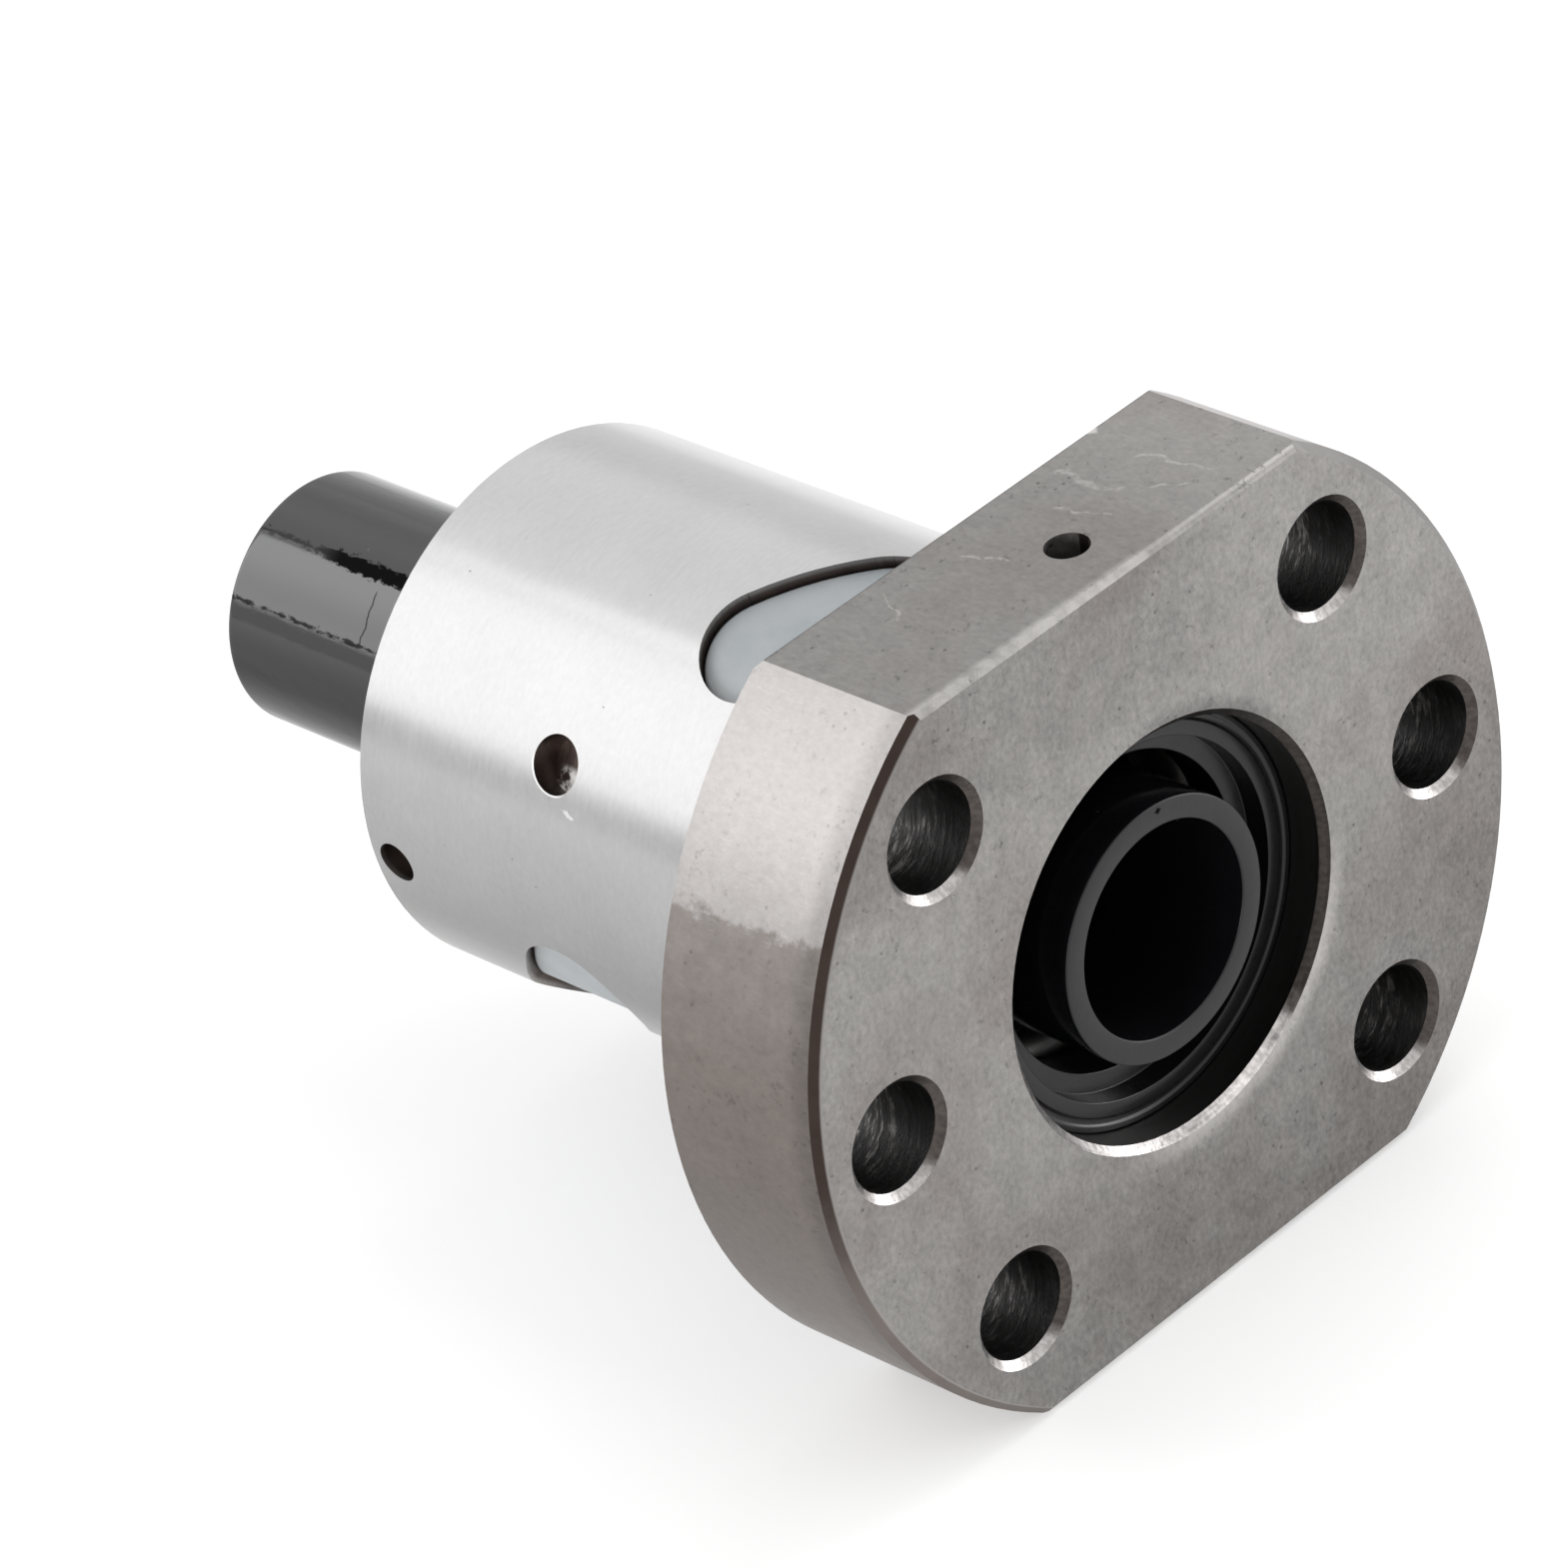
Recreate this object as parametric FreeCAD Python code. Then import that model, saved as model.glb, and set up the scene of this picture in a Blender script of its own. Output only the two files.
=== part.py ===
import FreeCAD, Part
import math
import os

# Flanged single ball screw nut with internal ball return, 16 mm screw, 5 mm lead,
# as supplied: the balls are kept in by a plastic transport sleeve in the bore.
#
# Frame: X is the nut's axis, +X out of the flange's front face, Z is square to the
# two flats, up. The origin is the axis's point on the flange's mounting face.
# Angles round the axis are counted from +Y towards +Z, in degrees. Millimetres.

# Screw thread and balls
screw_d = 16.0              # outside diameter of the screw that the nut runs on
lead = 5.0                  # right-hand, one start
ball_d = 3.175
ball_rise = 0.4             # ball centres stand this far outside the screw's crest
groove_conformity = 0.54    # radius of each gothic arch flank over the ball's diameter
contact_angle = 45.0
track_play = 0.04           # ball to flank at the contact angle
land_gap = 0.2              # screw crest to nut land

# Flange
flange_d = 48.0
flange_t = 10.0
flat_across = 40.0
rim_chamfer = 0.45
flat_break = 0.3

# Barrel
barrel_d = 28.0
barrel_len = 32.0
barrel_chamfer = 0.4

# Flange bolt holes, three to a side, clear of the flats, midway from barrel to rim
bolt_hole_d = 5.5
bolt_sink_d = 6.3
bolt_step = 45.0
bolts_per_side = 3

# Wiper seats and wipers
seat_step = 0.6             # seat radius over the root of the ball track
mouth_chamfer = 0.4
front_wiper_recess = 2.25   # flange face to wiper face
rear_wiper_recess = 0.55
wiper_t = 3.55
wiper_fit = 0.03
wiper_hole_gap = 0.05       # screw crest to wiper lip
wiper_lip_w = 1.05          # width of the sunk inner ring
wiper_lip_sink = 1.3
wiper_edge = 0.25

# Wiper locking pins, radial
pin_d = 2.2
pin_fit = 0.03
pin_len = 2.6
pin_bite = 0.6              # pin's reach into the wiper
pin_set_back = 1.5          # wiper face to pin
front_pin_angle = 87.0
rear_pin_angle = 186.0

# Locating hole in the barrel, blind and flat
locating_hole_d = 3.0
locating_hole_depth = 1.6
locating_hole_x = -18.2
locating_hole_angle = 149.0

# Return deflectors in pockets through the barrel wall, one to a ball circuit
circuits = 3
rear_land = 6.77            # middle of the rearmost deflector to the rear wiper's seat
first_deflector_angle = 99.0
pocket_len = 13.3
pocket_w = 7.0
pocket_tilt = -33.0
deflector_fit = 0.05
deflector_sink = 0.6        # outer face below the barrel
deflector_round = 0.3       # moulded round of its outer edge
cross_half = 34.0           # half of the angle over which the balls change turns
cross_flat = 0.2            # share of it at full height, each side of the middle
crest_gap = 0.06            # ball over the screw's crest
channel_play = 0.07
channel_overrun = 20.0      # channel past the crossing, each end, in degrees
circuit_play = 2.0          # free length left among the balls of a circuit

# How far cutters run past what they cut
overrun = 1.0

# Transport sleeve
sleeve_gap = 0.0625         # balls to sleeve
sleeve_wall = 1.25
sleeve_front_set = 0.6      # sleeve end behind the flange's front face
sleeve_tail = 17.6          # sleeve past the barrel's rear end
sleeve_chamfer = 0.15

# Sizes that follow
X_AXIS = FreeCAD.Vector(1, 0, 0)
ball_r = ball_d / 2.0
track_r = screw_d / 2.0 + ball_rise
land_r = screw_d / 2.0 + land_gap
barrel_r = barrel_d / 2.0
flange_r = flange_d / 2.0
bolt_circle_r = (barrel_r + flange_r) / 2.0
flank_r = groove_conformity * ball_d
flank_shift = flank_r - ball_r - track_play
flank_dx = flank_shift * math.sin(math.radians(contact_angle))
flank_dr = flank_shift * math.cos(math.radians(contact_angle))
root_r = track_r - flank_dr + math.sqrt(flank_r ** 2 - flank_dx ** 2)
seat_r = root_r + seat_step
wiper_r = seat_r - wiper_fit
wiper_hole_r = screw_d / 2.0 + wiper_hole_gap
front_wiper_x = flange_t - front_wiper_recess
rear_wiper_x = -barrel_len + rear_wiper_recess
front_shoulder_x = front_wiper_x - wiper_t
rear_shoulder_x = rear_wiper_x + wiper_t
circuit_step_x = -lead * (1.0 + 1.0 / circuits)
circuit_step_angle = -360.0 / circuits
first_deflector_x = rear_shoulder_x + rear_land - (circuits - 1) * circuit_step_x
sleeve_r = track_r - ball_r - sleeve_gap
sleeve_front_x = flange_t - sleeve_front_set
sleeve_rear_x = -barrel_len - sleeve_tail


def around(x, angle, r):
    a = math.radians(angle)
    return FreeCAD.Vector(x, r * math.cos(a), r * math.sin(a))


def radial_frame(x, angle):
    # local x runs round the axis, local y along it and local z outward
    a = math.radians(angle)
    s = math.sin(a)
    c = math.cos(a)
    m = FreeCAD.Matrix(0, 1, 0, x, -s, 0, c, 0, c, 0, s, 0, 0, 0, 0, 1)
    return FreeCAD.Placement(m)


def disc(x0, x1, r):
    return Part.makeCylinder(r, x1 - x0, FreeCAD.Vector(x0, 0, 0), X_AXIS)


def turned(points):
    # a profile of (x, radius) points, turned round the axis
    wire = Part.makePolygon([FreeCAD.Vector(x, 0, r) for x, r in points + points[:1]])
    return Part.Face(wire).revolve(FreeCAD.Vector(0, 0, 0), X_AXIS, 360)


def radial_bore(x, angle, r, r_in, r_out):
    hole = Part.makeCylinder(r, r_out - r_in, FreeCAD.Vector(0, 0, r_in))
    hole.Placement = radial_frame(x, angle)
    return hole


def deflector_place(k):
    x = first_deflector_x + k * circuit_step_x
    angle = first_deflector_angle + k * circuit_step_angle
    return x, angle


def gothic_track():
    # two arch flanks that meet at the root, closed inside the land, swept on the helix
    inner = land_r - overrun / 2.0 - track_r
    reach = math.sqrt(flank_r ** 2 - (inner + flank_dr) ** 2) - flank_dx
    mid = math.radians(contact_angle)

    def section(x, r):
        return FreeCAD.Vector(track_r + r, 0, x)

    def flank_middle(side):
        return section(side * (flank_r * math.sin(mid) - flank_dx),
                       flank_r * math.cos(mid) - flank_dr)

    root = section(0, root_r - track_r)
    near = section(-reach, inner)
    far = section(reach, inner)
    profile = Part.Wire([Part.Arc(near, flank_middle(-1), root).toShape(),
                         Part.Arc(root, flank_middle(1), far).toShape(),
                         Part.LineSegment(far, near).toShape()])
    # its ends lie wholly in the wiper seats
    run_out = reach + overrun / 2.0
    start_x = rear_shoulder_x - run_out
    helix = Part.makeHelix(lead, front_shoulder_x + run_out - start_x, track_r)
    tool = Part.Wire(helix.Edges).makePipeShell([profile], True, True)
    # the helix stands on Z and starts on +X: lay it along +X, starting on +Y
    lay = FreeCAD.Matrix(0, 0, 1, start_x, 1, 0, 0, 0, 0, 1, 0, 0, 0, 0, 0, 1)
    tool.Placement = FreeCAD.Placement(lay)
    # half a lead behind the first deflector, the track crosses that deflector's angle
    turns = (start_x - first_deflector_x + lead / 2.0) / lead
    tool.rotate(FreeCAD.Vector(0, 0, 0), X_AXIS, first_deflector_angle + 360.0 * turns)
    return tool


def obround_prism(k, length, width, r_out):
    # from the axis out along the deflector's radial direction, leaning with the crossing
    x, angle = deflector_place(k)
    half = (length - width) / 2.0
    w = width / 2.0
    V = FreeCAD.Vector
    top = Part.LineSegment(V(-half, w, 0), V(half, w, 0)).toShape()
    end_a = Part.Arc(V(half, w, 0), V(half + w, 0, 0), V(half, -w, 0)).toShape()
    low = Part.LineSegment(V(half, -w, 0), V(-half, -w, 0)).toShape()
    end_b = Part.Arc(V(-half, -w, 0), V(-half - w, 0, 0), V(-half, w, 0)).toShape()
    solid = Part.Face(Part.Wire([top, end_a, low, end_b])).extrude(V(0, 0, r_out))
    solid.rotate(V(0, 0, 0), V(0, 0, 1), pocket_tilt)
    solid.Placement = radial_frame(x, angle).multiply(solid.Placement)
    return solid


def smoother(s):
    s = min(max(s, 0.0), 1.0)
    return s ** 3 * (10.0 - 15.0 * s + 6.0 * s * s)


def circuit_point(k, phi):
    # a ball centre of circuit k: phi is the angle from the deflector's middle, with
    # the crossing between -cross_half and cross_half and the loaded turn after it
    x, angle = deflector_place(k)
    if phi > cross_half:
        return around(x - lead / 2.0 + lead * phi / 360.0, angle + phi, track_r)
    if phi < -cross_half:
        return around(x + lead / 2.0 + lead * phi / 360.0, angle + phi, track_r)
    t = phi / cross_half
    shift = lead / 2.0 - lead * cross_half / 360.0
    end_slope = -lead * cross_half / 360.0 / shift
    c5 = 3.0 * (1.0 - end_slope) / 8.0
    c3 = -10.0 / 3.0 * c5
    c1 = 1.0 - c3 - c5
    lift = screw_d / 2.0 + crest_gap + ball_r - track_r
    r = track_r + lift * (1.0 - smoother((abs(t) - cross_flat) / (1.0 - cross_flat)))
    return around(x - shift * (c1 * t + c3 * t ** 3 + c5 * t ** 5), angle + phi, r)


def channel(k):
    # the deflector's return channel, a round tunnel that climbs over the screw's crest
    end = cross_half + channel_overrun
    steps = 36
    points = [circuit_point(k, -end + 2.0 * end * i / steps) for i in range(steps + 1)]
    curve = Part.BSplineCurve()
    curve.interpolate(points)
    tangent = curve.tangent(curve.FirstParameter)[0]
    ring = Part.makeCircle(ball_r + channel_play, points[0], tangent)
    return Part.Wire(curve.toShape()).makePipeShell([Part.Wire(ring)], True, True)


def between_flats():
    # all that lies between the two flats, with their edges broken on both flange faces
    half = flat_across / 2.0
    c = flat_break
    edge = [(-barrel_len, half - c), (0, half - c), (c, half), (flange_t - c, half),
            (flange_t, half - c)]
    outline = edge + [(x, -z) for x, z in reversed(edge)]
    points = [FreeCAD.Vector(x, -flange_r, z) for x, z in outline + outline[:1]]
    return Part.Face(Part.makePolygon(points)).extrude(FreeCAD.Vector(0, flange_d, 0))


def nut_body():
    r = barrel_chamfer
    c = rim_chamfer
    body = turned([(-barrel_len, 0), (-barrel_len, barrel_r - r), (-barrel_len + r, barrel_r),
                   (0, barrel_r), (0, flange_r), (flange_t - c, flange_r),
                   (flange_t, flange_r - c), (flange_t, 0)])
    body = body.common(between_flats())

    rear_x = -barrel_len
    m = mouth_chamfer
    tools = [disc(rear_x - overrun, flange_t + overrun, land_r),
             disc(front_shoulder_x, flange_t + overrun, seat_r),
             disc(rear_x - overrun, rear_shoulder_x, seat_r),
             turned([(flange_t - m, 0), (flange_t - m, seat_r), (flange_t + m, seat_r + 2 * m),
                     (flange_t + m, 0)]),
             turned([(rear_x + m, 0), (rear_x + m, seat_r), (rear_x - m, seat_r + 2 * m),
                     (rear_x - m, 0)])]
    body = body.cut(tools).cut(gothic_track())

    hole_r = bolt_hole_d / 2.0
    sink = (bolt_sink_d - bolt_hole_d) / 2.0
    drills = []
    for side in (0.0, 180.0):
        for i in range(bolts_per_side):
            angle = side + (i - (bolts_per_side - 1) / 2.0) * bolt_step
            centre = around(0, angle, bolt_circle_r)
            drill = turned([(-overrun, 0), (-overrun, hole_r), (flange_t - sink, hole_r),
                            (flange_t + sink, hole_r + 2 * sink), (flange_t + sink, 0)])
            drill.translate(FreeCAD.Vector(0, centre.y, centre.z))
            drills.append(drill)
    pin_hole = pin_d / 2.0 + pin_fit
    drills.append(radial_bore(front_wiper_x - pin_set_back, front_pin_angle, pin_hole,
                              seat_r - overrun, flange_r))
    drills.append(radial_bore(rear_wiper_x + pin_set_back, rear_pin_angle, pin_hole,
                              seat_r - overrun, barrel_r + overrun))
    drills.append(radial_bore(locating_hole_x, locating_hole_angle, locating_hole_d / 2.0,
                              barrel_r - locating_hole_depth, barrel_r + overrun))
    body = body.cut(drills)

    pockets = [obround_prism(k, pocket_len, pocket_w, barrel_r + overrun)
               for k in range(circuits)]
    return body.cut(pockets)


def edges_at(shape, r):
    # the edges that lie wholly at radius r from the axis
    found = []
    for edge in shape.Edges:
        first = edge.FirstParameter
        step = (edge.LastParameter - first) / 4.0
        points = [edge.valueAt(first + step * i) for i in range(5)]
        if all(abs(math.hypot(p.y, p.z) - r) < 0.001 for p in points):
            found.append(edge)
    return found


def deflector(k):
    f = 2 * deflector_fit
    outer_r = barrel_r - deflector_sink
    plug = obround_prism(k, pocket_len - f, pocket_w - f, barrel_r)
    x = deflector_place(k)[0]
    wall = disc(x - pocket_len, x + pocket_len, outer_r)
    bore = disc(x - pocket_len, x + pocket_len, land_r)
    block = plug.common(wall.cut(bore))
    return block.makeFillet(deflector_round, edges_at(block, outer_r)).cut(channel(k))


def circuit_balls(k):
    # ball centres at even steps along the closed path of circuit k
    steps = 1440
    points = [circuit_point(k, -180.0 + 360.0 * i / steps) for i in range(steps)]
    # the path's two ends meet: half a turn before the deflector is half a turn after it
    points.append(circuit_point(k, 180.0))
    run = [0.0]
    for a, b in zip(points, points[1:]):
        run.append(run[-1] + a.distanceToPoint(b))
    count = int((run[-1] - circuit_play) / ball_d)
    pitch = run[-1] / count
    balls = []
    j = 0
    for n in range(count):
        s = (n + 0.5) * pitch
        while run[j + 1] < s:
            j += 1
        share = (s - run[j]) / (run[j + 1] - run[j])
        centre = points[j] + (points[j + 1] - points[j]) * share
        balls.append(Part.makeSphere(ball_r, centre))
    return balls


def wiper(face_x, out):
    # out is +1 where the wiper looks to +X and -1 where it looks to -X
    lip_r = wiper_hole_r + wiper_lip_w
    e = wiper_edge
    profile = [(0, wiper_hole_r), (0, wiper_r), (wiper_t - e, wiper_r), (wiper_t, wiper_r - e),
               (wiper_t, lip_r), (wiper_t - wiper_lip_sink, lip_r),
               (wiper_t - wiper_lip_sink, wiper_hole_r)]
    return turned([(face_x - out * (wiper_t - t), r) for t, r in profile])


def wiper_with_pin_hole(face_x, out, angle):
    hole = radial_bore(face_x - out * pin_set_back, angle, pin_d / 2.0 + pin_fit,
                       wiper_r - pin_bite, wiper_r + overrun)
    return wiper(face_x, out).cut(hole)


def wiper_pin(face_x, out, angle):
    start = wiper_r - pin_bite
    return radial_bore(face_x - out * pin_set_back, angle, pin_d / 2.0, start, start + pin_len)


def transport_sleeve():
    c = sleeve_chamfer
    a = sleeve_rear_x
    b = sleeve_front_x
    inner = sleeve_r - sleeve_wall
    return turned([(a, inner + c), (a, sleeve_r - c), (a + c, sleeve_r), (b - c, sleeve_r),
                   (b, sleeve_r - c), (b, inner + c), (b - c, inner), (a + c, inner)])


def build():
    parts = {"nut_body": nut_body(),
             "front_wiper": wiper_with_pin_hole(front_wiper_x, 1, front_pin_angle),
             "rear_wiper": wiper_with_pin_hole(rear_wiper_x, -1, rear_pin_angle),
             "front_wiper_pin": wiper_pin(front_wiper_x, 1, front_pin_angle),
             "rear_wiper_pin": wiper_pin(rear_wiper_x, -1, rear_pin_angle),
             "transport_sleeve": transport_sleeve()}
    for k in range(circuits):
        parts["return_deflector_%d" % (k + 1)] = deflector(k)
        for n, ball in enumerate(circuit_balls(k)):
            parts["circuit_%d_ball_%02d" % (k + 1, n + 1)] = ball
    return parts


os.makedirs("parts", exist_ok=True)
for name, shape in build().items():
    solids = shape.Solids
    if len(solids) == 1:
        shape = solids[0]
    print("%-20s solids %d valid %s volume %.3f" % (name, len(solids), shape.isValid(), shape.Volume))
    shape.exportStep("parts/%s.step" % name)
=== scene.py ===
import math

import bmesh
import bpy
from mathutils import Matrix, Vector


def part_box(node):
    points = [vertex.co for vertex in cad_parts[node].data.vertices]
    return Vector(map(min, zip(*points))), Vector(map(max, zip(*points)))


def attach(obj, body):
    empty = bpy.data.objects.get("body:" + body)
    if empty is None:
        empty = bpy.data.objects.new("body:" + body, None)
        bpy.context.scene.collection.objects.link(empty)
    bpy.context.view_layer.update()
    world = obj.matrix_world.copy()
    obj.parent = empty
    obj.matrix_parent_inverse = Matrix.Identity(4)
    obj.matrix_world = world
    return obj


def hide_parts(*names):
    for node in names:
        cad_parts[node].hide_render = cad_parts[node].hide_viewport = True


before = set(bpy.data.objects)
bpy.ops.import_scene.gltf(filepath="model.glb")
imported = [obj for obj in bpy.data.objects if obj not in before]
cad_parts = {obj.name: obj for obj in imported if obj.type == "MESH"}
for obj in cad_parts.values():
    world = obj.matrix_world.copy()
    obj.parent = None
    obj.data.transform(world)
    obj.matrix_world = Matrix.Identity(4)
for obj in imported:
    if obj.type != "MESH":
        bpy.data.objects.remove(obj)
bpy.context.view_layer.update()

bl_info = {
    "name": "Ball Screw Nut",
    "version": (1, 0, 0),
    "blender": (4, 5, 0),
    "location": "3D View > Sidebar > Ball Nut",
    "description": "Finishes a flanged ball screw nut and its transport sleeve",
    "category": "Object",
}

MM = 0.001
MICRON = 0.000001
# Name, (azimuth, elevation) in degrees, distance and size in metres, power in watts.
LAMPS = (
    ("key", (-142, 32), 0.5, (0.34, 0.44), 0.62),
    ("back", (157, 40), 0.5, (0.42, 0.30), 0.09),
    ("top", (90, 55), 0.6, (0.40, 0.40), 0.97),
    ("left_fill", (-85, 8), 0.6, (0.30, 0.20), 1.34),
    ("right_fill", (60, 8), 0.6, (0.40, 0.20), 1.57),
)
# What the lamps look at and the floor's radius, in metres, and the floor's white as it
# lights the nut and as it is seen.
LAMP_TARGET = (-0.012, 0, 0)
FLOOR_RADIUS = 3.0
PAPER_LIT = (0.80, 0.80, 0.80, 1)
PAPER_SEEN = (0.70, 0.70, 0.70, 1)
PAPER_GLOW = 0.36

# The nut's measures, in millimetres, and angles from +Y round the axis, in degrees.
BOLT_RADIUS = 19.0
BOLT_ANGLES = (-45, 0, 45, 135, 180, 225)
LOCATING_X, LOCATING_ANGLE = -18.2, 149.0
SLEEVE_WALL = 1.25
SLEEVE_RING = 0.3
WIPER_BORE = 8.05
WIPER_STEP, WIPER_STEP_DEPTH = 9.1, 1.3
WIPER_GROOVE, WIPER_GROOVE_DEPTH = (10.30, 10.22, 9.95, 9.87), 0.10

# Limits between the body's finishes, in millimetres.
SINK_RADIUS = 3.3
SEAT_RADIUS = 10.75
MOUTH_RADIUS = 11.4
BARREL_RADIUS = 13.5
RIM_RADIUS = 23.3
MOUTH_X = 9.4
FLAT_Z = 19.6

# The sleeve's rubbed lines, in degrees up from -Y, and its hairline's place along X.
RUBBED_UPPER, RUBBED_LOWER, HAIRLINE_X = 63.3, 30.5, -39.95

# Colours of small marks.
BRIGHT_CHIP = (0.85, 0.85, 0.86)
HOLE_GLINT = (0.9, 0.89, 0.87)
SLEEVE_DUST = (0.25, 0.25, 0.26)
WIPER_DUST = (0.2, 0.2, 0.21)
MATT_BLACK = (0.006, 0.006, 0.006)
INSERT_SHADE = (0.30, 0.325, 0.34)
METAL = {"Metallic": 1.0}


def box_mm(node):
    """Lowest and highest corner of a CAD node, in millimetres."""
    low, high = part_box(node)
    return low / MM, high / MM


BODY_LOW, BODY_HIGH = box_mm("nut_body")
SLEEVE_LOW, SLEEVE_HIGH = box_mm("transport_sleeve")


# Sizes and colours that a user would change.


def length(name, description, default, unit="LENGTH"):
    return bpy.props.FloatProperty(name=name, description=description, default=default, unit=unit)


def number(name, description, default):
    return bpy.props.FloatProperty(name=name, description=description, default=default)


def colour(name, description, default):
    return bpy.props.FloatVectorProperty(
        name=name, description=description, default=default, subtype="COLOR", size=3, min=0, max=1
    )


class SteelSettings(bpy.types.PropertyGroup):
    ground: colour("Ground steel", "Colour of the ground barrel", (0.415, 0.412, 0.413))
    flange: colour("Flange steel", "Colour of the flange's faces", (0.29, 0.28, 0.270))
    stain: colour("Stain", "Brown tint where oil has dried on the flange", (0.195, 0.170, 0.156))
    rim: colour("Rim steel", "Colour of the rim's clean side", (0.395, 0.376, 0.368))
    worn: colour("Worn edge", "Colour of worn edges and scuffs", (0.50, 0.485, 0.47))
    edge: colour("Rim chamfer", "Colour of the flange's dark front chamfer", (0.045, 0.033, 0.029))
    cut: colour("Cut steel", "Colour of countersinks and the bore's mouth", (0.44, 0.42, 0.412))
    # the drilled walls' near-black colour is painted shade
    drilled: colour("Drilled wall", "Colour of the walls of the holes", (0.085, 0.083, 0.082))
    pocket: colour("Pocket wall", "Brown of the walls cut into the barrel", (0.125, 0.098, 0.088))
    streak: colour("Drill streak", "Colour of the drill's bright marks", (0.50, 0.48, 0.47))
    # the bore's near-black colour is painted shade
    bore: colour("Bored wall", "Colour of the bore, seats and ball track", (0.085, 0.082, 0.080))
    ball: colour("Balls", "Colour of the polished balls", (0.80, 0.80, 0.81))
    pin: colour("Pins", "Colour of the wiper pins", (0.20, 0.19, 0.185))


class PlasticSettings(bpy.types.PropertyGroup):
    sleeve: colour("Sleeve", "Charcoal of the transport sleeve", (0.005, 0.005, 0.006))
    sleeve_cut: colour("Sleeve end", "Sawn end of the transport sleeve", (0.012, 0.0115, 0.0125))
    wiper: colour("Wiper", "Black of the wipers", (0.004, 0.004, 0.0045))
    insert: colour("Deflector", "Pale plastic of the return deflectors", (0.34, 0.36, 0.372))
    edge_round: length("Edge rounding", "Radius of moulded plastic edges", 0.00010)


class StudioSettings(bpy.types.PropertyGroup):
    eye: bpy.props.FloatVectorProperty(
        name="Camera", description="Place of the camera", size=3, subtype="TRANSLATION",
        default=(0.25930585, -0.22624145, 0.22790472))
    right: bpy.props.FloatVectorProperty(
        name="Camera right", description="Direction to the picture's right", size=3,
        subtype="DIRECTION", default=(0.70551128, 0.68816824, -0.16934672))
    up: bpy.props.FloatVectorProperty(
        name="Camera up", description="Direction to the picture's top", size=3,
        subtype="DIRECTION", default=(-0.28057686, 0.49065334, 0.82494601))
    focal: bpy.props.FloatProperty(
        name="Focal length", description="Camera's focal length", default=197.76, unit="CAMERA")
    floor_gap: length("Floor gap", "Floor below the flange's lower flat", 0.0001)
    ambient: number("Ambient light", "Strength of the light from all round", 0.8)
    lamps: number("Lamp level", "Factor on the power of every lamp", 1.0)


class NutSettings(bpy.types.PropertyGroup):
    steel: bpy.props.PointerProperty(type=SteelSettings, name="Steel", description="Steel finishes")
    plastic: bpy.props.PointerProperty(
        type=PlasticSettings, name="Plastic", description="Plastic finishes and edges")
    studio: bpy.props.PointerProperty(
        type=StudioSettings, name="Studio", description="Camera, floor and lamps")


# Material nodes.


class Value:
    """A number socket. Python's operators on it add Math nodes."""

    def __init__(self, finish, socket):
        self.finish = finish
        self.socket = socket

    def math(self, operation, *others):
        node = self.finish.node("ShaderNodeMath", {"operation": operation},
                                dict(enumerate((self, *others))))
        return Value(self.finish, node.outputs[0])

    def __add__(self, other):
        return self.math("ADD", other)

    def __sub__(self, other):
        return self.math("SUBTRACT", other)

    def __rsub__(self, other):
        return self.finish.constant_first("SUBTRACT", other, self)

    def __mul__(self, other):
        return self.math("MULTIPLY", other)

    def __pow__(self, other):
        return self.math("POWER", other)

    __radd__ = __add__
    __rmul__ = __mul__

    def __abs__(self):
        return self.math("ABSOLUTE")

    def larger(self, other):
        return self.math("MAXIMUM", other)

    def rise(self, low, high):
        """0 below low and 1 above high, smooth between them. low may be over high."""
        node = self.finish.node("ShaderNodeMapRange", {"interpolation_type": "SMOOTHSTEP"},
                                {"Value": self, "From Min": low, "From Max": high})
        return Value(self.finish, node.outputs["Result"])


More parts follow.
